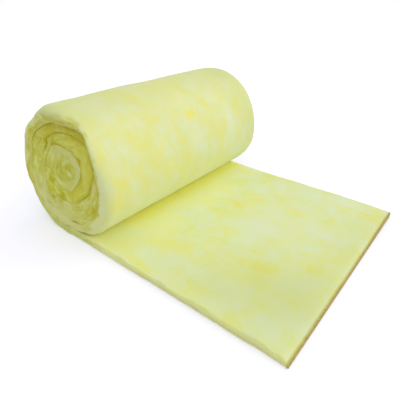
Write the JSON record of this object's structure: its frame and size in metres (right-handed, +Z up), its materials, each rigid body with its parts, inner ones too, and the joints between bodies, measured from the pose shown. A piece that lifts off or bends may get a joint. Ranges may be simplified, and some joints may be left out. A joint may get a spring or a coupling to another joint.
{
  "type": "insulation roll",
  "caption": "Thick soft glass wool insulation blanket, wound into a roll that lies on its side, with its free end rolled out flat on the ground.",
  "frame": {"origin": "on the ground, at the middle of the bounding box's bottom face; it lies on the blanket's flat underside", "axes": "+X along the unrolled tail from the roll towards the cut end, +Y along the roll's axis, +Z up"},
  "size_m": [1.573, 1.2, 0.65],
  "materials": {
    "glass_wool": "matte pale yellow glass fibre wool, soft and slightly fuzzy"
  },
  "bodies": {
    "root": {"glass_wool_blanket": "glass_wool"}
  },
  "joints": []
}
